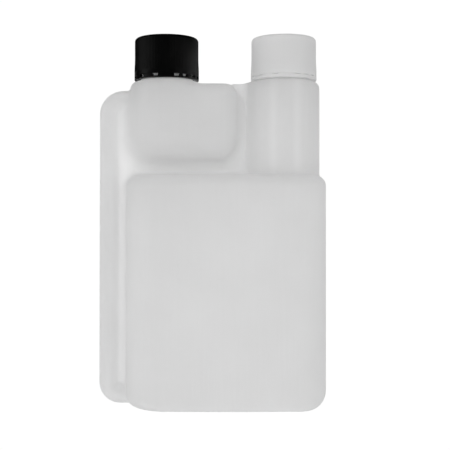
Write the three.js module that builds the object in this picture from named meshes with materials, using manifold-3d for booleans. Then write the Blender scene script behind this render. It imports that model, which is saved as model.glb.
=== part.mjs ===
// Twin-neck dosing bottle with two screw caps.
// Millimetres, +Z up, front face towards -Y, origin at the middle of the base.
// The bottle is one blown piece: a main chamber, a dosing chamber with its own
// neck, a filler column with its neck, and a transfer tube up the left side,
// all joined by thin webs on the middle plane. Each closure is a cap shell, a
// sealing disc and the tamper ring that stays on the neck.
import * as THREE from 'three';
import { mergeVertices } from 'three/addons/utils/BufferGeometryUtils.js';
import Module from 'manifold-3d';

const wasm = await Module();
wasm.setup();

// ---------------------------------------------------------------- dimensions
const HALF_W = 53.65;            // half the overall width, tube side to right wall
const HALF_D = 27.2;             // half the depth of the main chamber
const WALL = 1.15;               // blown wall
const MAIN = { x0: -39.6, x1: HALF_W, z1: 108.5, corner: 13.0 };
const MAIN_BASE = { rise: 8.6, left: 4.4, right: 6.8, front: 2.4, turnLeft: 8.0, turnRight: 1.0 };   // rounding at the base edge
const MAIN_TOP = { rise: 5.2, left: 5.6, right: 5.6, front: 4.0, turnLeft: 0, turnRight: 0 };    // rounding at the top edge
const PUSH_UP = { side: 14.0, front: 10.5, lip: 1.6, height: 1.8 };

const DOSE_AXIS = -21.36;        // neck axis of the dosing chamber, X
const FILL_AXIS = 34.75;         // neck axis of the filler column, X
const DOSE = { r: 17.3, x1: 12.0, z0: 116.4, z1: 151.4, corner: 7.0, base: 6.0, top: 5.0 };
const COLUMN_R = 17.1;
const SHOULDER_Z = 153.5;        // flat ring round each neck
const SHOULDER_ROUND = 3.3;

const TUBE = { r: 4.5, bore: 3.4, z0: 0.0, z1: 149.5, bendLow: 5.6, bendTop: 7.0 };
const WEB = 2.2;                 // thickness of the pinched webs
const WEB_TOP = 152.8;

const NECK = { r: 12.45, bore: 10.8, top: 171.2, beadR: 13.85, beadZ0: 156.05, beadZ1: 157.5 };
const PITCH = 4.2;               // thread pitch of both closures
const NECK_THREAD = { crest: 13.7, root: 0.95, tip: 0.45, z0: 160.6, turns: 1.75 };
const CAP_THREAD = { crest: 13.05, root: 0.75, tip: 0.35, z0: 160.6 - PITCH / 2, turns: 1.6 };

const CAP = { z0: 156.0, z1: 174.4, roof: 1.5, skirt: 14.2, round: 1.6 };
const DOSE_CAP = { axis: DOSE_AXIS, r: 15.2, hem: 15.4, slitZ: 154.85 };
const FILL_CAP = { axis: FILL_AXIS, r: 15.45, hem: 15.7, slitZ: 155.25 };
const LINER = { r: 13.45, z0: 171.4, z1: 172.7 };
// Windows of the tamper ring, in degrees to the right of the front face.
const WINDOWS = [-47, -17.7, 21.8, 38, 58.3, 78, 98, 118, 138.5, 159, 180, 201, 222, 243, 264, 287];
const BAND = { z0: 154.15, z1: 155.7, bore: 13.35, windowDeg: 11 };

const ROUND = 36;                // facets round a neck, cap or column

// ------------------------------------------------------------------- helpers
function toSolid(geometry) {
  const g = geometry.index ? geometry.toNonIndexed() : geometry.clone();
  g.deleteAttribute('normal');
  g.deleteAttribute('uv');
  const m = mergeVertices(g, 1e-4);
  const p = m.attributes.position.array;
  const idx = m.index.array;
  const tris = [];
  let volume = 0;
  for (let i = 0; i < idx.length; i += 3) {
    const [a, b, c] = [idx[i], idx[i + 1], idx[i + 2]];
    if (a === b || b === c || a === c) continue;
    tris.push(a, b, c);
    const [ax, ay, az, bx, by, bz, cx, cy, cz] =
      [a, b, c].flatMap((k) => [p[3 * k], p[3 * k + 1], p[3 * k + 2]]);
    volume += ax * (by * cz - bz * cy) + ay * (bz * cx - bx * cz) + az * (bx * cy - by * cx);
  }
  if (volume < 0) for (let i = 0; i < tris.length; i += 3) [tris[i + 1], tris[i + 2]] = [tris[i + 2], tris[i + 1]];
  return new wasm.Manifold(new wasm.Mesh({
    numProp: 3, vertProperties: new Float32Array(p), triVerts: new Uint32Array(tris),
  }));
}

function toGeometry(solid) {
  const mesh = solid.getMesh();
  const g = new THREE.BufferGeometry();
  const pos = new Float32Array(mesh.numVert * 3);
  for (let i = 0; i < mesh.numVert; i++) {
    for (let k = 0; k < 3; k++) pos[3 * i + k] = mesh.vertProperties[i * mesh.numProp + k];
  }
  g.setAttribute('position', new THREE.BufferAttribute(pos, 3));
  g.setIndex(new THREE.BufferAttribute(new Uint32Array(mesh.triVerts), 1));
  g.computeVertexNormals();
  return g;
}

// Closed body through rings of equal point count, with a fan at each end.
function loft(rings) {
  const n = rings[0].length;
  const pts = rings.flat();
  const idx = [];
  for (let r = 0; r < rings.length - 1; r++) {
    for (let i = 0; i < n; i++) {
      const a = r * n + i, b = r * n + (i + 1) % n, c = a + n, d = b + n;
      idx.push(a, b, d, a, d, c);
    }
  }
  for (const [start, flip] of [[0, true], [(rings.length - 1) * n, false]]) {
    const centre = [0, 0, 0];
    for (let i = 0; i < n; i++) for (let k = 0; k < 3; k++) centre[k] += pts[start + i][k] / n;
    const c = pts.length;
    pts.push(centre);
    for (let i = 0; i < n; i++) {
      const a = start + i, b = start + (i + 1) % n;
      idx.push(...(flip ? [c, b, a] : [c, a, b]));
    }
  }
  const g = new THREE.BufferGeometry();
  g.setAttribute('position', new THREE.BufferAttribute(new Float32Array(pts.flat()), 3));
  g.setIndex(idx);
  return toSolid(g);
}

// Rounded rectangle in plan, with its own radius at the left and right ends.
function plan(x0, x1, halfY, rLeft, rRight, z, seg) {
  const ring = [];
  const corner = (cx, cy, r, a0) => {
    for (let i = 0; i <= seg; i++) {
      const a = a0 + (i / seg) * Math.PI / 2;
      ring.push([cx + r * Math.cos(a), cy + r * Math.sin(a), z]);
    }
  };
  corner(x1 - rRight, halfY - rRight, rRight, 0);
  corner(x0 + rLeft, halfY - rLeft, rLeft, Math.PI / 2);
  corner(x0 + rLeft, -halfY + rLeft, rLeft, Math.PI);
  corner(x1 - rRight, -halfY + rRight, rRight, 1.5 * Math.PI);
  return ring;
}

// Body turned about the vertical through x = axis; points are [radius, z].
function turned(points, axis, seg = ROUND) {
  const g = new THREE.LatheGeometry(points.map(([r, z]) => new THREE.Vector2(r, z)), seg);
  g.rotateX(Math.PI / 2);
  g.translate(axis, 0, 0);
  return toSolid(g);
}

// Arc of a turned profile, from angle a0 to a1 in degrees.
function arc(cr, cz, r, a0, a1, seg) {
  return Array.from({ length: seg + 1 }, (_, i) => {
    const a = THREE.MathUtils.degToRad(a0 + (a1 - a0) * i / seg);
    return [cr + r * Math.cos(a), cz + r * Math.sin(a)];
  });
}

// Helical ridge from the wall radius (sunk a little into it) to the crest.
function ridge({ crest, root, tip, z0, turns }, wallR, sink, axis, startDeg = 0) {
  const step = 20;
  const total = Math.round(turns * 360 / step);
  const rings = [];
  for (let i = 0; i <= total; i++) {
    const a = THREE.MathUtils.degToRad(startDeg + i * step);
    const fade = Math.min(1, (Math.min(i, total - i) + 0.25) / 2.5);
    const inner = wallR - sink * Math.sign(crest - wallR);
    const outer = wallR + (crest - wallR) * fade;
    const z = z0 + PITCH * i * step / 360;
    const at = (r, dz) => [axis + r * Math.cos(a), r * Math.sin(a), z + dz];
    rings.push([at(inner, -root), at(outer, -tip), at(outer, tip), at(inner, root)]);
  }
  return loft(rings);
}

// Round pipe along a flat path of [x, z] points with their unit directions.
function pipe(path, r, sides) {
  return loft(path.map(({ p, d }) => Array.from({ length: sides }, (_, i) => {
    const a = (i / sides) * 2 * Math.PI;
    const u = r * Math.cos(a), v = r * Math.sin(a);
    return [p[0] - d[1] * u, v, p[1] + d[0] * u];
  })));
}

const union = (list) => list.reduce((a, b) => a.add(b));

// -------------------------------------------------------------------- bottle
// Main chamber: rounded base edge on a flat foot ring, raised middle, rounded top.
function mainBody(d) {
  const seg = 6;
  const ring = (edge, k, z) => plan(
    MAIN.x0 + d + edge.left * k, MAIN.x1 - d - edge.right * k, HALF_D - d - edge.front * k,
    MAIN.corner - d + (edge.turnLeft - edge.front) * k,
    MAIN.corner - d + (edge.turnRight - edge.front) * k, z, seg);
  const floor = d;                      // the foot stands on z = 0
  const rings = [];
  const pushed = (side, front, z) => plan(
    MAIN.x0 + side, MAIN.x1 - side, HALF_D - front, 8, 8, z, seg);
  rings.push(pushed(PUSH_UP.side + PUSH_UP.lip, PUSH_UP.front + PUSH_UP.lip, PUSH_UP.height + floor));
  rings.push(pushed(PUSH_UP.side - d, PUSH_UP.front - d, floor));
  const n = 4;
  for (let i = 0; i <= n; i++) {
    const t = (1 - i / n) * Math.PI / 2;
    rings.push(ring(MAIN_BASE, 1 - Math.cos(t),
      floor + (MAIN_BASE.rise - floor) * (1 - Math.sin(t))));
  }
  for (let i = 0; i <= n; i++) {
    const t = (i / n) * Math.PI / 2;
    rings.push(ring(MAIN_TOP, 1 - Math.cos(t),
      MAIN.z1 - MAIN_TOP.rise + (MAIN_TOP.rise - d) * Math.sin(t)));
  }
  return loft(rings);
}

// Dosing chamber: left end concentric with its neck, right end squarer.
function doseBody(d) {
  const rings = [];
  const ring = (inset, z) => plan(
    DOSE_AXIS - DOSE.r + d + inset, DOSE.x1 - d - inset, DOSE.r - d - inset,
    DOSE.r - d - inset - 0.01, Math.max(1, DOSE.corner - d - inset), z, 7);
  const n = 4;
  for (let i = 0; i <= n; i++) {
    const t = (1 - i / n) * Math.PI / 2;
    rings.push(ring(DOSE.base * (1 - Math.cos(t)), DOSE.z0 + d + (DOSE.base - d) * (1 - Math.sin(t))));
  }
  for (let i = 0; i <= n; i++) {
    const t = (i / n) * Math.PI / 2;
    rings.push(ring(DOSE.top * (1 - Math.cos(t)), DOSE.z1 - DOSE.top + (DOSE.top - d) * Math.sin(t)));
  }
  return loft(rings);
}

// Round boss under a neck, with its shoulder; z0 is where it starts.
function shoulder(axis, r, z0, d) {
  return turned([
    [0, z0], [r - d, z0],
    ...arc(r - SHOULDER_ROUND, SHOULDER_Z - SHOULDER_ROUND, SHOULDER_ROUND - d, 0, 90, 3),
    [0, SHOULDER_Z - d],
  ], axis);
}

// Neck: plain wall, retaining bead for the tamper ring, and one screw thread.
function neck(axis) {
  const body = turned([
    [0, SHOULDER_Z - 1], [NECK.r, SHOULDER_Z - 1],
    [NECK.r, NECK.beadZ0 - 0.5], [NECK.beadR, NECK.beadZ0], [NECK.beadR, NECK.beadZ0 + 0.5],
    [NECK.r, NECK.beadZ1], [NECK.r, NECK.top - 0.5], [NECK.r - 0.5, NECK.top], [0, NECK.top],
  ], axis);
  return body.add(ridge(NECK_THREAD, NECK.r, 0.4, axis));
}

function tubePath(reach) {
  const x = -HALF_W + TUBE.r;
  const zb = TUBE.z0 + TUBE.r, zt = TUBE.z1 - TUBE.r;
  const lo = TUBE.bendLow, hi = TUBE.bendTop;
  const path = [{ p: [reach, zb], d: [-1, 0] }];
  const n = 5;
  for (let i = 0; i <= n; i++) {
    const a = -Math.PI / 2 - (i / n) * Math.PI / 2;
    path.push({ p: [x + lo + lo * Math.cos(a), zb + lo + lo * Math.sin(a)], d: [Math.sin(a), -Math.cos(a)] });
  }
  for (let i = 0; i <= n; i++) {
    const a = Math.PI - (i / n) * Math.PI / 2;
    path.push({ p: [x + hi + hi * Math.cos(a), zt - hi + hi * Math.sin(a)], d: [Math.sin(a), -Math.cos(a)] });
  }
  path.push({ p: [reach, zt], d: [1, 0] });
  return path;
}

function web() {
  const x = -HALF_W + TUBE.r, zb = TUBE.z0 + TUBE.r, zt = TUBE.z1 - TUBE.r, lo = TUBE.bendLow, hi = TUBE.bendTop;
  const s = new THREE.Shape();
  s.moveTo(MAIN.x0 + 5, zb);
  s.lineTo(x + lo, zb);
  s.absarc(x + lo, zb + lo, lo, -Math.PI / 2, -Math.PI, true);
  s.lineTo(x, zt - hi);
  s.absarc(x + hi, zt - hi, hi, Math.PI, Math.PI / 2, true);
  s.lineTo(DOSE_AXIS, zt);
  s.lineTo(DOSE_AXIS, DOSE.z1 - 1.5);
  s.lineTo(DOSE.x1 - 6, DOSE.z1 - 1.5);
  s.lineTo(DOSE.x1 - 3, WEB_TOP);
  s.lineTo(FILL_AXIS - COLUMN_R + 5, WEB_TOP);
  s.lineTo(FILL_AXIS - COLUMN_R + 5, MAIN.z1 - 6);
  s.lineTo(MAIN.x0 + 5, MAIN.z1 - 6);
  s.closePath();
  const g = new THREE.ExtrudeGeometry(s, { depth: WEB, bevelEnabled: false, curveSegments: 4 });
  g.translate(0, 0, -WEB / 2);
  g.rotateX(Math.PI / 2);
  return toSolid(g);
}

function bottle() {
  const outer = union([
    mainBody(0), doseBody(0), web(),
    shoulder(DOSE_AXIS, DOSE.r, 130, 0), shoulder(FILL_AXIS, COLUMN_R, 100, 0),
    pipe(tubePath(-34), TUBE.r, 14), neck(DOSE_AXIS), neck(FILL_AXIS),
  ]);
  const bore = (axis, z0) => turned([[0, z0], [NECK.bore, z0], [NECK.bore, NECK.top + 3], [0, NECK.top + 3]], axis);
  const inner = union([
    mainBody(WALL), doseBody(WALL),
    shoulder(DOSE_AXIS, DOSE.r, 130 + WALL, WALL), shoulder(FILL_AXIS, COLUMN_R, 100, WALL),
    pipe(tubePath(-32), TUBE.bore, 10), bore(DOSE_AXIS, 145), bore(FILL_AXIS, 145),
  ]);
  return outer.subtract(inner);
}

// ------------------------------------------------------------------ closures
function cap({ axis, r, hem }) {
  const z = CAP;
  const shell = turned([
    [0, z.z1 - z.roof], [z.skirt - 0.6, z.z1 - z.roof], [z.skirt, z.z1 - z.roof - 0.6],
    [z.skirt, z.z0], [hem, z.z0], [hem, z.z0 + 2.6], [r, z.z0 + 8], [r, z.z1 - z.round],
    ...arc(r - z.round, z.z1 - z.round, z.round, 22.5, 90, 3), [0, z.z1],
  ], axis, ROUND);
  return shell.add(ridge(CAP_THREAD, z.skirt, 0.4, axis));
}

function liner(axis) {
  return turned([[0, LINER.z0], [LINER.r, LINER.z0], [LINER.r, LINER.z1], [0, LINER.z1]], axis);
}

// Tamper ring: a thin ring under the neck bead with broken bridges on top of it.
function band({ axis, hem, slitZ }) {
  let ring = turned([
    [BAND.bore, BAND.z0], [hem - 0.15, BAND.z0], [hem, BAND.z0 + 0.15], [hem, BAND.z1], [BAND.bore, BAND.z1],
    [BAND.bore, BAND.z0],
  ], axis, 40);
  const w = THREE.MathUtils.degToRad(BAND.windowDeg / 2);
  for (const turn of WINDOWS) {
    const a = THREE.MathUtils.degToRad(turn - 90);
    const s = new THREE.Shape();
    const at = (r, da) => [axis + r * Math.cos(a + da), r * Math.sin(a + da)];
    s.moveTo(...at(BAND.bore - 2, -w));
    s.lineTo(...at(hem + 1.5, -w));
    s.lineTo(...at(hem + 1.5, w));
    s.lineTo(...at(BAND.bore - 2, w));
    s.closePath();
    const g = new THREE.ExtrudeGeometry(s, { depth: 2, bevelEnabled: false });
    g.translate(0, 0, slitZ);
    ring = ring.subtract(toSolid(g));
  }
  return ring;
}

// ------------------------------------------------------------------ assembly
const natural = { color: 0xdadada, roughness: 0.45, metalness: 0 };
const black = { color: 0x101010, roughness: 0.4, metalness: 0 };
const foam = { color: 0xf2f2f2, roughness: 0.8, metalness: 0 };

const group = new THREE.Group();
function node(name, solid, look) {
  const mesh = new THREE.Mesh(toGeometry(solid), new THREE.MeshStandardMaterial(look));
  mesh.name = name;
  group.add(mesh);
}

node('bottle', bottle(), natural);
node('dosing_cap', cap(DOSE_CAP), black);
node('dosing_cap_liner', liner(DOSE_AXIS), foam);
node('dosing_cap_tamper_ring', band(DOSE_CAP), black);
node('filler_cap', cap(FILL_CAP), natural);
node('filler_cap_liner', liner(FILL_AXIS), foam);
node('filler_cap_tamper_ring', band(FILL_CAP), natural);

export default group;
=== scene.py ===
import math
import bpy
import numpy as np
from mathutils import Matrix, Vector


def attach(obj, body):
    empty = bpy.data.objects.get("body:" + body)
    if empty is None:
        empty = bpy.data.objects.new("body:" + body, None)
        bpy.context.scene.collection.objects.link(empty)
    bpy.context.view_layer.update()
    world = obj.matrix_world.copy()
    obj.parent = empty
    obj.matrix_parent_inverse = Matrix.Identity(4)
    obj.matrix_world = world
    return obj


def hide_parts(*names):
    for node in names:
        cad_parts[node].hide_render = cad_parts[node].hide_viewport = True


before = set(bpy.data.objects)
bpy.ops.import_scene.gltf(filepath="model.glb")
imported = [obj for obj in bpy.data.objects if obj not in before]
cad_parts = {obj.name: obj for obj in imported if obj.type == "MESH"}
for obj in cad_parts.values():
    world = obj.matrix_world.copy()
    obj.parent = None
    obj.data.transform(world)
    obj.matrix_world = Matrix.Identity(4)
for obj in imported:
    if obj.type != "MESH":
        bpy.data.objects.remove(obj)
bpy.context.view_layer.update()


scene = bpy.context.scene

# ------------------------------------------------------------ dimensions (mm)
MM = 0.001
HALF_W, HALF_D, WALL = 53.65, 27.2, 1.15
MAIN_X0, MAIN_X1, MAIN_Z1, MAIN_R = -39.6, 53.65, 108.5, 13.0
DOSE_AXIS, FILL_AXIS = -21.36, 34.75
DOSE_R, DOSE_X1, DOSE_Z0, DOSE_Z1, DOSE_C = 17.3, 12.0, 116.4, 151.4, 7.0
COLUMN_R, SHOULDER_Z, SHOULDER_ROUND = 17.1, 153.5, 3.3
TUBE_R, TUBE_BORE, TUBE_Z0, TUBE_Z1 = 4.5, 3.4, 0.0, 149.5
WEB, WEB_TOP = 2.2, 152.8
NECK_R, NECK_BORE, NECK_TOP = 12.45, 10.8, 171.2
PITCH = 4.2
DOSE_CAP = dict(axis=DOSE_AXIS, r=15.2, hem=15.4)
FILL_CAP = dict(axis=FILL_AXIS, r=15.45, hem=15.7)
# windows of the tamper rings, in degrees to the right of the front face
WINDOWS = (-47, -17.7, 21.8, 38, 58.3, 78, 98, 118, 138.5, 159, 180, 201, 222, 243, 264, 287)


# -------------------------------------------------------------- mesh builders
def mesh_object(name, verts, faces, smooth_deg=40.0):
    """Object from vertices in mm and faces, shaded smooth up to an edge angle."""
    me = bpy.data.meshes.new(name)
    me.from_pydata((np.asarray(verts) * MM).tolist(), [], [list(map(int, f)) for f in faces])
    me.validate()
    me.update()
    ob = bpy.data.objects.new(name, me)
    scene.collection.objects.link(ob)
    me.shade_smooth()
    me.set_sharp_from_angle(angle=math.radians(smooth_deg))
    return ob


def ring_faces(rings, n, closed=False):
    faces = []
    last = rings if closed else rings - 1
    for r in range(last):
        a0, b0 = r * n, ((r + 1) % rings) * n
        for i in range(n):
            j = (i + 1) % n
            faces.append((a0 + i, a0 + j, b0 + j, b0 + i))
    return faces


def loft(name, rings, closed=False, flip=False, smooth_deg=40.0):
    """Closed body through rings of equal count: a torus, or with a fan at each end."""
    rings = np.asarray(rings, dtype=float)
    k, n, _ = rings.shape
    verts = rings.reshape(-1, 3)
    faces = ring_faces(k, n, closed)
    if not closed:
        ends = [rings[0].mean(axis=0), rings[-1].mean(axis=0)]
        verts = np.vstack([verts, ends])
        c0, c1 = k * n, k * n + 1
        faces += [(c0, (i + 1) % n, i) for i in range(n)]
        base = (k - 1) * n
        faces += [(c1, base + i, base + (i + 1) % n) for i in range(n)]
    if flip:
        faces = [tuple(reversed(f)) for f in faces]
    return mesh_object(name, verts, faces, smooth_deg)


def boolean(target, tool, operation):
    mod = target.modifiers.new("cut", "BOOLEAN")
    mod.operation = operation
    mod.solver = "MANIFOLD"
    mod.object = tool
    bpy.context.view_layer.update()
    graph = bpy.context.evaluated_depsgraph_get()
    me = bpy.data.meshes.new_from_object(target.evaluated_get(graph))
    target.modifiers.remove(mod)
    old = target.data
    target.data = me
    bpy.data.meshes.remove(old)
    bpy.data.objects.remove(tool)
    return target


# ------------------------------------------------- distance fields of the bottle
def rounded_rect(px, py, hx, hy, r):
    qx = np.abs(px) - (hx - r)
    qy = np.abs(py) - (hy - r)
    return np.minimum(np.maximum(qx, qy), 0) + np.hypot(np.maximum(qx, 0), np.maximum(qy, 0)) - r


def eased(dp, dz, ra, rb):
    """Wall distance dp and end distance dz meet in an elliptical edge ra by rb."""
    a, b = dp / ra + 1, dz / rb + 1
    ac, bc = np.maximum(a, 0), np.maximum(b, 0)
    h = np.hypot(ac, bc)
    w = np.where(h > 1e-6, (ra * ac ** 2 + rb * bc ** 2) / np.maximum(h, 1e-6) ** 2, np.minimum(ra, rb))
    return (np.minimum(np.maximum(a, b), 0) + h - 1) * w


def smin(a, b, k):
    h = np.maximum(k - np.abs(a - b), 0) / k
    return np.minimum(a, b) - h ** 3 * k / 6


def smoothstep(t):
    t = np.clip(t, 0, 1)
    return t * t * (3 - 2 * t)


def main_chamber(x, y, z, wall=0.0):
    cx, hx = (MAIN_X0 + MAIN_X1) / 2, (MAIN_X1 - MAIN_X0) / 2
    u = (x - cx) / hx
    bow = 0.85 * u ** 2                       # the big faces are a little crowned
    ya = np.abs(y) + bow
    foot = np.clip(1 - z / 8.6, 0, 1) ** 4    # the corners turn wider towards the foot
    r = MAIN_R + np.where(x < cx, 8.0, 1.0) * foot
    dp = rounded_rect(x - cx, ya, hx, HALF_D, r)
    qx = np.maximum(np.abs(x - cx) - (hx - r), 0)
    qy = np.maximum(ya - (HALF_D - r), 0)
    side = qx ** 2 / np.maximum(qx ** 2 + qy ** 2, 1e-6)
    low = 2.4 + (np.where(x < cx, 4.4, 6.8) - 2.4) * side
    high = 7.0 + (5.6 - 7.0) * side
    dr = rounded_rect(x - cx, y, hx - 13.0, HALF_D - 9.5, 8.0)
    lift = 1.8 * smoothstep(-dr / 4.0)
    base = eased(dp + wall, lift - z + wall, low - wall * 0.5, 8.6 - wall)
    top = eased(dp + wall, z - MAIN_Z1 + wall, high - wall * 0.5, 5.2 - wall)
    return np.maximum(base, top)


def dose_chamber(x, y, z, wall=0.0):
    round_end = np.hypot(x - DOSE_AXIS, y) - DOSE_R
    qx = x - (DOSE_X1 - DOSE_C)
    qy = np.abs(y) - (DOSE_R - DOSE_C)
    square = np.minimum(np.maximum(qx, qy), 0) + np.hypot(np.maximum(qx, 0), np.maximum(qy, 0)) - DOSE_C
    dp = np.where(x < DOSE_AXIS, round_end, square)
    base = eased(dp + wall, DOSE_Z0 - z + wall, 8.5 - wall, 12.0 - wall)
    top = eased(dp + wall, z - DOSE_Z1 + wall, 5.0 - wall, 5.0 - wall)
    return np.maximum(base, top)


def boss(x, y, z, axis, r, z0, wall=0.0):
    dp = np.hypot(x - axis, y) - r
    top = eased(dp + wall, z - SHOULDER_Z + wall, SHOULDER_ROUND - wall, SHOULDER_ROUND - wall)
    return np.maximum(top, z0 - z)


def tube_outline(x, z):
    """Signed distance, in the middle plane, to the centre line of the tube."""
    xt = -HALF_W + TUBE_R + 0.25 * np.clip((z - 20) / 105, 0, 1)
    zb, zt = TUBE_Z0 + TUBE_R, TUBE_Z1 - TUBE_R
    zc, hz = (zb + zt) / 2, (zt - zb) / 2
    r = np.where(z > zc, 7.0, 5.6)
    return rounded_rect(x - xt - 100, z - zc, 100.0, hz, r)


def tube(x, y, z, r, reach):
    return np.maximum(np.hypot(tube_outline(x, z), y) - r, x - reach)


def web(x, y, z):
    left = np.maximum(tube_outline(x, z), x - FILL_AXIS)
    right = np.maximum(np.maximum(9.5 - x, x - FILL_AXIS), np.maximum(100.0 - z, z - WEB_TOP))
    return eased(np.minimum(left, right), np.abs(y) - WEB / 2, 0.9, 0.9)


def outer_skin(x, y, z):
    main = main_chamber(x, y, z)
    dose = smin(dose_chamber(x, y, z), boss(x, y, z, DOSE_AXIS, DOSE_R, 128.0), 1.2)
    fill = boss(x, y, z, FILL_AXIS, COLUMN_R, 96.0)
    sheet = web(x, y, z)
    wide = 4.0 + 12.0 * smoothstep((150.0 - z) / 8.0)      # fillet at the dosing chamber, tight at its top
    f = smin(main, fill, 2.4)
    f = np.minimum(smin(f, sheet, 6.0 + 2.0 * smoothstep((150.0 - z) / 8.0)), smin(dose, sheet, wide))
    f = smin(f, tube(x, y, z, TUBE_R, -34.0), 2.6)
    return np.maximum(f, np.maximum(-z, x - HALF_W))


def inner_skin(x, y, z):
    w = WALL
    main = main_chamber(x, y, z, w)
    bore_d = np.maximum(np.hypot(x - DOSE_AXIS, y) - NECK_BORE, 140.0 - z)
    bore_f = np.maximum(np.hypot(x - FILL_AXIS, y) - NECK_BORE, 140.0 - z)
    dose = smin(dose_chamber(x, y, z, w), boss(x, y, z, DOSE_AXIS, DOSE_R, 128.0 + w, w), 1.2)
    dose = smin(dose, bore_d, 1.6)
    fill = smin(boss(x, y, z, FILL_AXIS, COLUMN_R, 96.0, w), bore_f, 1.6)
    f = smin(main, fill, 2.4)
    f = np.minimum(f, dose)
    f = smin(f, tube(x, y, z, TUBE_BORE, -32.0), 1.2)
    return np.maximum(f, z - (NECK_TOP + 3.0))


def surface_net(name, field, lo, hi, h):
    """Quad mesh of field = 0 on a grid, each vertex moved onto the surface."""
    axes = [np.arange(math.floor(lo[i] / h) - 0.5, math.ceil(hi[i] / h) + 1.5) * h for i in range(3)]
    gx, gy, gz = np.meshgrid(*axes, indexing="ij")
    f = field(gx, gy, gz)
    neg = f < 0
    n = np.array(f.shape) - 1
    corner = [(i, j, k) for i in (0, 1) for j in (0, 1) for k in (0, 1)]
    count = sum(neg[i:i + n[0], j:j + n[1], k:k + n[2]].astype(np.int8) for i, j, k in corner)
    ci, cj, ck = np.nonzero((count > 0) & (count < 8))
    index = np.full(tuple(n), -1, dtype=np.int64)
    index[ci, cj, ck] = np.arange(len(ci))
    total = np.zeros((len(ci), 3))
    hits = np.zeros(len(ci))
    for a in corner:
        for axis in range(3):
            if a[axis]:
                continue
            b = list(a)
            b[axis] = 1
            fa = f[ci + a[0], cj + a[1], ck + a[2]]
            fb = f[ci + b[0], cj + b[1], ck + b[2]]
            cross = (fa < 0) != (fb < 0)
            t = np.where(cross, fa / np.where(cross, fa - fb, 1), 0)
            p = np.repeat(np.array([a], dtype=float), len(ci), axis=0)
            p[:, axis] += t
            total[cross] += p[cross]
            hits[cross] += 1
    verts = (np.stack([ci, cj, ck], 1) + total / hits[:, None]) * h + np.array([a[0] for a in axes])
    faces = []
    for axis in range(3):
        u, v = [(1, 2), (2, 0), (0, 1)][axis]
        sl_a = [slice(None)] * 3
        sl_b = [slice(None)] * 3
        sl_a[axis], sl_b[axis] = slice(0, -1), slice(1, None)
        change = neg[tuple(sl_a)] != neg[tuple(sl_b)]
        pts = np.stack(np.nonzero(change), 1)
        ok = (pts[:, u] > 0) & (pts[:, v] > 0) & (pts[:, u] < n[u]) & (pts[:, v] < n[v])
        pts = pts[ok]
        quad = []
        for du, dv in ((1, 1), (0, 1), (0, 0), (1, 0)):
            q = pts.copy()
            q[:, u] -= du
            q[:, v] -= dv
            quad.append(index[q[:, 0], q[:, 1], q[:, 2]])
        quad = np.stack(quad, 1)
        start_in = neg[pts[:, 0], pts[:, 1], pts[:, 2]]
        quad[~start_in] = quad[~start_in][:, ::-1]
        faces.append(quad)
    faces = np.concatenate(faces)
    e = 0.02
    for _ in range(5):
        x, y, z = verts.T
        v0 = field(x, y, z)
        g = np.stack([field(x + e, y, z) - field(x - e, y, z),
                      field(x, y + e, z) - field(x, y - e, z),
                      field(x, y, z + e) - field(x, y, z - e)], 1) / (2 * e)
        step = v0[:, None] * g / np.maximum((g ** 2).sum(1), 0.05)[:, None]
        size = np.linalg.norm(step, axis=1)
        step *= np.minimum(1, 0.4 * h / np.maximum(size, 1e-9))[:, None]
        verts = verts - step
    return mesh_object(name, verts, faces)


# ------------------------------------------------------------ threads and necks
def thread_height(theta, z, z0, turns, root, tip):
    """0 to 1 across a helical ridge, for angle theta and height z."""
    best = np.zeros(np.broadcast(theta, z).shape)
    for n in range(-1, int(turns) + 2):
        a = theta + 2 * math.pi * n
        run = a / (2 * math.pi)
        centre = z0 + PITCH * run
        across = np.clip((root - np.abs(z - centre)) / (root - tip), 0, 1)
        ends = smoothstep(run / 0.09) * smoothstep((turns - run) / 0.09)
        best = np.maximum(best, smoothstep(across) * ends)
    return best


def neck(name, axis, n=120):
    theta = np.arange(n) / n * 2 * math.pi
    zs = np.concatenate([[149.5], np.linspace(153.2, 154.6, 6), [155.4, 155.8],
                         np.linspace(156.0, 157.7, 8), np.linspace(158.2, 170.4, 42), [170.7]])
    rings = []
    for z in zs:
        r = NECK_R + 1.1 * (1 - math.sqrt(max(0, 1 - (1 - min(1, max(0, (z - 153.4) / 1.1))) ** 2)))
        r += 1.4 * float(smoothstep((z - 155.6) / 0.5) * smoothstep((157.6 - z) / 0.7))
        rad = r + 1.25 * thread_height(theta, z, 160.6, 1.75, 1.0, 0.4)
        rings.append(np.stack([axis + rad * np.cos(theta), rad * np.sin(theta), np.full(n, z)], 1))
    for a in (22.5, 45, 67.5, 90):
        r = NECK_R - 0.5 + 0.5 * math.cos(math.radians(a))
        z = NECK_TOP - 0.5 + 0.5 * math.sin(math.radians(a))
        rings.append(np.stack([axis + r * np.cos(theta), r * np.sin(theta), np.full(n, z)], 1))
    return loft(name, rings)


def pinch_scar(name):
    """Low welded ridge across the raised middle of the base."""
    rings = []
    for x in np.linspace(-24, 38, 32):
        end = max(0.05, 1 - abs((x - 7) / 31) ** 8)
        a = np.arange(16) / 16 * 2 * math.pi
        rings.append(np.stack([np.full(16, x), 0.75 * end * np.cos(a), 1.8 - 0.6 * end * np.sin(a)], 1))
    return loft(name, rings)


def build_bottle():
    lo, hi = (-55, -29, -1.5), (56, 29, 156)
    body = surface_net("bottle_blown", outer_skin, lo, hi, 1.2)
    inner = surface_net("inner", inner_skin, lo, (56, 29, 176), 1.35)
    boolean(body, neck("neck_a", DOSE_AXIS), "UNION")
    boolean(body, neck("neck_b", FILL_AXIS), "UNION")
    boolean(body, inner, "DIFFERENCE")
    boolean(body, pinch_scar("scar"), "UNION")
    body.data.shade_smooth()
    body.data.set_sharp_from_angle(angle=math.radians(38))
    return body


# -------------------------------------------------------------------- closures
RIBS = 120


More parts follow.
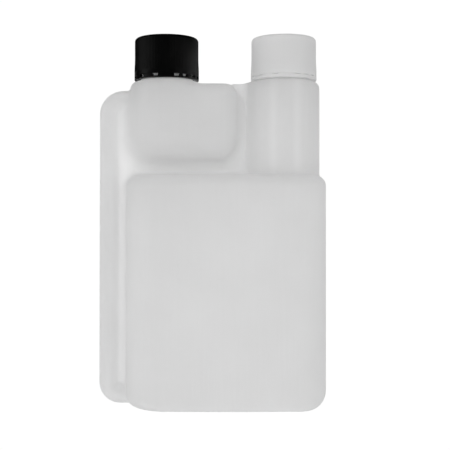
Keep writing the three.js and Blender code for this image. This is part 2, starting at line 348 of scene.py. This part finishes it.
def build_cap(name, axis, r, hem, depth, n=480):
    theta = np.arange(n) / n * 2 * math.pi
    c, s = np.cos(theta), np.sin(theta)
    z0, z1, roof, skirt, rnd = 156.0, 174.4, 172.9, 14.2, 1.6
    rings = []

    def ring(rad, z):
        rad = np.broadcast_to(rad, theta.shape)
        rings.append(np.stack([axis + rad * c, rad * s, np.full(n, z)], 1))

    for rad in (4.0, 8.0, 12.0, 13.45):
        ring(rad, roof)
    for a in (30, 60, 90):
        ring(skirt - 0.6 + 0.6 * math.sin(math.radians(a)), roof - 0.6 + 0.6 * math.cos(math.radians(a)))
    for z in np.linspace(171.6, 157.2, 42):
        ring(skirt - 1.15 * thread_height(theta, z, 160.6 - PITCH / 2, 1.6, 0.78, 0.3), z)
    ring(skirt, z0 + 0.4)
    ring(skirt + 0.25, z0)
    ring(hem - 0.2, z0)
    ring(hem - 0.05, z0 + 0.06)
    ring(hem, z0 + 0.2)
    phase = (np.arange(n) % (n // RIBS)) / (n // RIBS)
    rib = 0.5 - 0.5 * np.cos(2 * math.pi * phase)

    def wall(z):
        t = np.clip((z - (z0 + 2.6)) / 5.4, 0, 1)
        return hem + (r - hem) * smoothstep(t)

    for z in (z0 + 1.4, z0 + 1.75, z0 + 1.85, z0 + 2.6, z0 + 4.4, z0 + 6.2, z0 + 8.0, z0 + 12.0, z1 - rnd - 0.9, z1 - rnd - 0.45):
        up = float(smoothstep((z - (z0 + 1.7)) / 0.35))
        ring(wall(z) - depth * rib * up, z)
    for a in (0, 18, 36, 54, 72, 90):
        fade = float(smoothstep(1 - a / 40))
        ring(r - rnd + rnd * math.cos(math.radians(a)) - depth * rib * fade, z1 - rnd + rnd * math.sin(math.radians(a)))
    for rad in (11.5, 8.0, 4.0):
        ring(rad, z1)
    return loft(name, rings, smooth_deg=50)


def build_tamper_ring(name, axis, r, hem, slit, n=480, window_deg=11.0):
    theta = np.arange(n) / n * 2 * math.pi
    c, s = np.cos(theta), np.sin(theta)
    z0, high, bore = 154.15, 155.97, 13.35
    top = np.full(n, high)
    for turn in WINDOWS:
        off = np.abs((np.degrees(theta) + 90 - turn + 180) % 360 - 180)
        top[off < window_deg / 2] = slit
    rings = []
    for rad, z in ((bore, z0 + 0.1), (bore + 0.1, z0), (hem - 0.45, z0), (hem - 0.22, z0 + 0.05), (hem - 0.07, z0 + 0.18), (hem, z0 + 0.42),
                   (hem, None), (hem - 0.02, None), (bore + 0.4, None)):
        zz = np.full(n, z) if z is not None else top
        if rad == hem and z is None:
            zz = top - 0.04
        rings.append(np.stack([axis + rad * c, rad * s, zz], 1))
    return loft(name, rings, closed=True, smooth_deg=30)


def build_liner(name, axis, n=96):
    theta = np.arange(n) / n * 2 * math.pi
    c, s = np.cos(theta), np.sin(theta)
    rings = []
    for rad, z in ((5, 171.42), (10.4, 171.42), (10.8, 171.52), (12.2, 171.52), (12.6, 171.42), (13.25, 171.42),
                   (13.4, 171.5), (13.45, 171.7), (13.45, 172.4), (13.4, 172.6), (13.25, 172.7), (8, 172.7)):
        rings.append(np.stack([axis + rad * c, rad * s, np.full(n, z)], 1))
    return loft(name, rings, smooth_deg=40)


# ------------------------------------------------------------------- materials
def new_material(name):
    m = bpy.data.materials.new(name)
    m.use_nodes = True
    t = m.node_tree
    t.nodes.clear()
    return m, t


def link(t, a, b):
    t.links.new(a, b)


def add(t, kind, **inputs):
    n = t.nodes.new(kind)
    for key, val in inputs.items():
        n.inputs[key.replace("_", " ")].default_value = val
    return n


def noise(t, coord, scale, detail=2.0, stretch=None):
    src = coord
    if stretch:
        mp = t.nodes.new("ShaderNodeMapping")
        mp.inputs["Scale"].default_value = stretch
        link(t, coord, mp.inputs["Vector"])
        src = mp.outputs["Vector"]
    n = t.nodes.new("ShaderNodeTexNoise")
    n.inputs["Scale"].default_value = scale
    n.inputs["Detail"].default_value = detail
    link(t, src, n.inputs["Vector"])
    return n.outputs["Fac"]


def remap(t, fac, lo, hi):
    n = t.nodes.new("ShaderNodeMapRange")
    n.inputs["To Min"].default_value = lo
    n.inputs["To Max"].default_value = hi
    link(t, fac, n.inputs["Value"])
    return n.outputs["Result"]


def grey_ramp(t, fac, lo, hi):
    n = t.nodes.new("ShaderNodeValToRGB")
    n.color_ramp.elements[0].color = (*lo, 1)
    n.color_ramp.elements[1].color = (*hi, 1)
    n.color_ramp.elements[0].position = 0.3
    n.color_ramp.elements[1].position = 0.7
    link(t, fac, n.inputs["Fac"])
    return n.outputs["Color"]


def parting_line(t, coord):
    """1 on the mould's parting plane, 0 beside it."""
    sep = t.nodes.new("ShaderNodeSeparateXYZ")
    link(t, coord, sep.inputs[0])
    off = t.nodes.new("ShaderNodeMath")
    off.operation = "ABSOLUTE"
    link(t, sep.outputs["Y"], off.inputs[0])
    n = t.nodes.new("ShaderNodeMapRange")
    n.interpolation_type = "SMOOTHSTEP"
    n.inputs["From Min"].default_value = 0.00008
    n.inputs["From Max"].default_value = 0.00035
    n.inputs["To Min"].default_value = 1.0
    n.inputs["To Max"].default_value = 0.0
    link(t, off.outputs[0], n.inputs["Value"])
    return n.outputs["Result"]


def painted_highlight_stripes(t, coord, highlight_lines, gain):
    """Painted highlight: tone factor, above 1 along upright lines (x, half width, lowest z in metres), lightening the
    colour in highlight stripes down the column.
    """
    sep = t.nodes.new("ShaderNodeSeparateXYZ")
    link(t, coord, sep.inputs[0])
    total = None
    for x0, half, z0 in highlight_lines:
        off = t.nodes.new("ShaderNodeMath")
        off.operation = "SUBTRACT"
        off.inputs[1].default_value = x0
        link(t, sep.outputs["X"], off.inputs[0])
        dist = t.nodes.new("ShaderNodeMath")
        dist.operation = "ABSOLUTE"
        link(t, off.outputs[0], dist.inputs[0])
        near = t.nodes.new("ShaderNodeMapRange")
        near.interpolation_type = "SMOOTHSTEP"
        near.inputs["From Min"].default_value = 0.0
        near.inputs["From Max"].default_value = half
        near.inputs["To Min"].default_value = gain
        near.inputs["To Max"].default_value = 0.0
        link(t, dist.outputs[0], near.inputs["Value"])
        above = t.nodes.new("ShaderNodeMapRange")
        above.interpolation_type = "SMOOTHSTEP"
        above.inputs["From Min"].default_value = z0
        above.inputs["From Max"].default_value = z0 + 0.006
        link(t, sep.outputs["Z"], above.inputs["Value"])
        both = t.nodes.new("ShaderNodeMath")
        both.operation = "MULTIPLY_ADD"
        link(t, near.outputs["Result"], both.inputs[0])
        link(t, above.outputs["Result"], both.inputs[1])
        if total is None:
            both.inputs[2].default_value = 1.0
        else:
            link(t, total, both.inputs[2])
        total = both.outputs[0]
    return total


def toned(t, color, factor):
    if factor is None:
        return color
    n = t.nodes.new("ShaderNodeVectorMath")
    n.operation = "SCALE"
    link(t, color, n.inputs[0])
    link(t, factor, n.inputs["Scale"])
    return n.outputs["Vector"]


def translucent_plastic(name, lo, hi, glow_lo, glow_hi, mix, rough, bump=0.00004, seam=0.0, highlight_lines=()):
    """Milky plastic: satin surface over a body that passes diffuse light."""
    m, t = new_material(name)
    out = t.nodes.new("ShaderNodeOutputMaterial")
    tc = t.nodes.new("ShaderNodeTexCoord")
    obj = tc.outputs["Object"]
    cloud = noise(t, obj, 45, 2)
    streak = noise(t, obj, 60, 2, (14, 14, 0.6))
    fine = noise(t, obj, 2600, 3)
    both = t.nodes.new("ShaderNodeMath")
    both.operation = "MULTIPLY_ADD"
    both.inputs[1].default_value = 0.35
    link(t, streak, both.inputs[0])
    scaled = t.nodes.new("ShaderNodeMath")
    scaled.operation = "MULTIPLY"
    scaled.inputs[1].default_value = 0.65
    link(t, cloud, scaled.inputs[0])
    link(t, scaled.outputs[0], both.inputs[2])
    var = both.outputs[0]
    bsdf = t.nodes.new("ShaderNodeBsdfPrincipled")
    # painted highlight: the stripes lighten both the base colour and the translucent colour
    tone = painted_highlight_stripes(t, obj, highlight_lines, 0.04) if highlight_lines else None
    link(t, toned(t, grey_ramp(t, var, lo, hi), tone), bsdf.inputs["Base Color"])
    link(t, remap(t, fine, rough - 0.05, rough + 0.06), bsdf.inputs["Roughness"])
    bsdf.inputs["IOR"].default_value = 1.52
    bp = t.nodes.new("ShaderNodeBump")
    bp.inputs["Strength"].default_value = 0.5
    bp.inputs["Distance"].default_value = bump
    height = t.nodes.new("ShaderNodeMath")
    height.operation = "MULTIPLY_ADD"
    height.inputs[1].default_value = 1.6
    link(t, streak, height.inputs[0])
    link(t, fine, height.inputs[2])
    relief = height.outputs[0]
    if seam:
        ridge = t.nodes.new("ShaderNodeMath")
        ridge.operation = "MULTIPLY_ADD"
        ridge.inputs[1].default_value = seam
        link(t, parting_line(t, obj), ridge.inputs[0])
        link(t, relief, ridge.inputs[2])
        relief = ridge.outputs[0]
    link(t, relief, bp.inputs["Height"])
    link(t, bp.outputs["Normal"], bsdf.inputs["Normal"])
    tr = t.nodes.new("ShaderNodeBsdfTranslucent")
    link(t, bp.outputs["Normal"], tr.inputs["Normal"])
    link(t, toned(t, grey_ramp(t, var, glow_lo, glow_hi), tone), tr.inputs["Color"])
    mx = t.nodes.new("ShaderNodeMixShader")
    mx.inputs["Fac"].default_value = mix
    link(t, bsdf.outputs[0], mx.inputs[1])
    link(t, tr.outputs[0], mx.inputs[2])
    link(t, mx.outputs[0], out.inputs["Surface"])
    return m


def solid_plastic(name, lo, hi, rough, bump=0.00003, specular=0.5):
    m, t = new_material(name)
    out = t.nodes.new("ShaderNodeOutputMaterial")
    tc = t.nodes.new("ShaderNodeTexCoord")
    obj = tc.outputs["Object"]
    fine = noise(t, obj, 2400, 3)
    cloud = noise(t, obj, 160, 2)
    bsdf = t.nodes.new("ShaderNodeBsdfPrincipled")
    link(t, grey_ramp(t, cloud, lo, hi), bsdf.inputs["Base Color"])
    link(t, remap(t, fine, rough - 0.06, rough + 0.07), bsdf.inputs["Roughness"])
    bsdf.inputs["IOR"].default_value = 1.49
    bsdf.inputs["Specular IOR Level"].default_value = specular
    bp = t.nodes.new("ShaderNodeBump")
    bp.inputs["Strength"].default_value = 0.5
    bp.inputs["Distance"].default_value = bump
    link(t, fine, bp.inputs["Height"])
    link(t, bp.outputs["Normal"], bsdf.inputs["Normal"])
    link(t, bsdf.outputs[0], out.inputs["Surface"])
    return m


# the two lines paint highlight stripes down the filler column, above the main chamber
natural = translucent_plastic("natural_polyethylene", (0.83, 0.83, 0.83), (0.86, 0.86, 0.86),
                              (0.94, 0.94, 0.94), (0.96, 0.96, 0.96), 0.70, 0.42, seam=5.0,
                              highlight_lines=((0.0290, 0.0030, 0.108), (0.0402, 0.0030, 0.108)))
milky = translucent_plastic("natural_polypropylene", (0.95, 0.95, 0.95), (0.97, 0.97, 0.97),
                            (0.97, 0.97, 0.97), (0.99, 0.99, 0.99), 0.42, 0.38, 0.00003)
black = solid_plastic("black_polypropylene", (0.0015, 0.0015, 0.0015), (0.0027, 0.0027, 0.0027), 0.34, specular=0.30)
foam = solid_plastic("liner_foam", (0.80, 0.80, 0.79), (0.88, 0.88, 0.87), 0.75, 0.00008)


# ---------------------------------------------------------------------- pieces
def place(piece, body, node, material):
    piece.data.materials.clear()
    piece.data.materials.append(material)
    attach(piece, body)
    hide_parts(node)


place(build_bottle(), "bottle_body", "bottle", natural)
for key, spec, rib_depth, slit, slot, mat in (("dosing", DOSE_CAP, 0.12, 154.85, "black_cap", black),
                                              ("filler", FILL_CAP, 0.07, 155.60, "natural_cap", milky)):
    place(build_cap(f"{key}_cap_ribbed", depth=rib_depth, **spec), f"{key}_cap_body", f"{key}_cap", mat)
    place(build_tamper_ring(f"{key}_ring_bridged", slit=slit, **spec), "bottle_body", f"{key}_cap_tamper_ring", mat)
    place(build_liner(f"{key}_sealing_disc", spec["axis"]), f"{key}_liner_body", f"{key}_cap_liner", foam)

# ----------------------------------------------------------------------- stage
LEVEL = 0.945               # all the lights together


def build_sweep(sides=96):
    """Seamless white cove all round: floor, curve and wall, seen by the camera only."""
    prof = [(1.1, -0.0002)]
    for i in range(1, 13):
        a = math.radians(90 * i / 12)
        prof.append((1.1 + 0.4 * math.sin(a), 0.4 - 0.4 * math.cos(a)))
    prof.append((1.5, 2.4))
    prof.append((0.05, 2.5))
    verts, faces = [(0.0, 0.0, -0.0002)], []
    for r, z in prof:
        for k in range(sides):
            a = 2 * math.pi * k / sides
            verts.append((r * math.cos(a), r * math.sin(a), z))
    for k in range(sides):
        faces.append((0, 1 + k, 1 + (k + 1) % sides))
    for i in range(len(prof) - 1):
        for k in range(sides):
            a, b = 1 + i * sides + k, 1 + i * sides + (k + 1) % sides
            faces.append((a, a + sides, b + sides, b))
    me = bpy.data.meshes.new("studio_cove")
    me.from_pydata(verts, [], faces)
    me.shade_smooth()
    ob = bpy.data.objects.new("studio_cove", me)
    scene.collection.objects.link(ob)
    m, t = new_material("white_paper")
    out = t.nodes.new("ShaderNodeOutputMaterial")
    em = add(t, "ShaderNodeEmission", Color=(1, 1, 1, 1), Strength=1.02)
    link(t, em.outputs[0], out.inputs["Surface"])
    me.materials.append(m)
    ob.visible_diffuse = ob.visible_glossy = ob.visible_transmission = ob.visible_shadow = False
    return ob


build_sweep()

world = bpy.data.worlds.new("studio")
scene.world = world
world.use_nodes = True
world.node_tree.nodes["Background"].inputs["Color"].default_value = (1, 1, 1, 1)
world.node_tree.nodes["Background"].inputs["Strength"].default_value = 0.60 * LEVEL
world.cycles_visibility.glossy = False


def softbox(name, loc, target, size, radiance, glossy=True):
    li = bpy.data.lights.new(name, "AREA")
    li.shape = "RECTANGLE"
    li.size, li.size_y = size
    li.energy = radiance * LEVEL * math.pi * size[0] * size[1]
    ob = bpy.data.objects.new(name, li)
    ob.location = loc
    ob.rotation_euler = (Vector(target) - Vector(loc)).to_track_quat("-Z", "Y").to_euler()
    ob.visible_camera = False
    ob.visible_glossy = glossy
    scene.collection.objects.link(ob)
    return ob


softbox("backdrop", (0.0, 0.85, 0.25), (0, 0, 0.10), (2.2, 1.7), 1.20, glossy=False)
softbox("front", (-0.40, -0.95, 0.15), (0, 0, 0.07), (1.4, 1.2), 0.30, glossy=False)
softbox("bounce", (-0.10, -0.55, -0.45), (0, 0, 0.10), (1.2, 0.8), 0.80, glossy=False)
softbox("side_right", (1.0, -0.25, 0.20), (0, 0, 0.10), (1.0, 1.2), 0.24, glossy=False)
softbox("left", (-0.90, -0.15, 0.25), (0, 0, 0.09), (0.45, 0.9), 0.6)
softbox("right", (0.80, -0.60, 0.25), (0, 0, 0.09), (0.35, 0.9), 0.4)
softbox("rim_left", (-0.50, 0.85, 0.15), (0, 0, 0.12), (0.25, 0.9), 0.40)
softbox("rim_right", (0.72, 0.70, 0.15), (0, 0, 0.12), (0.25, 0.9), 0.45)

# ---------------------------------------------------------------------- camera
cam = bpy.data.cameras.new("camera")
cam.sensor_fit = "HORIZONTAL"
cam.sensor_width = 36.0
cam.lens = 80.0
cam.clip_start = 0.01
cam.clip_end = 10.0
cam_ob = bpy.data.objects.new("camera", cam)
cam_ob.location = (0.0066, -0.480, 0.0852)
cam_ob.rotation_euler = (math.radians(90), 0, 0)
scene.collection.objects.link(cam_ob)
scene.camera = cam_ob

scene.view_settings.view_transform = "Standard"
scene.view_settings.look = "None"
scene.view_settings.exposure = 0.0
scene.view_settings.gamma = 1.0
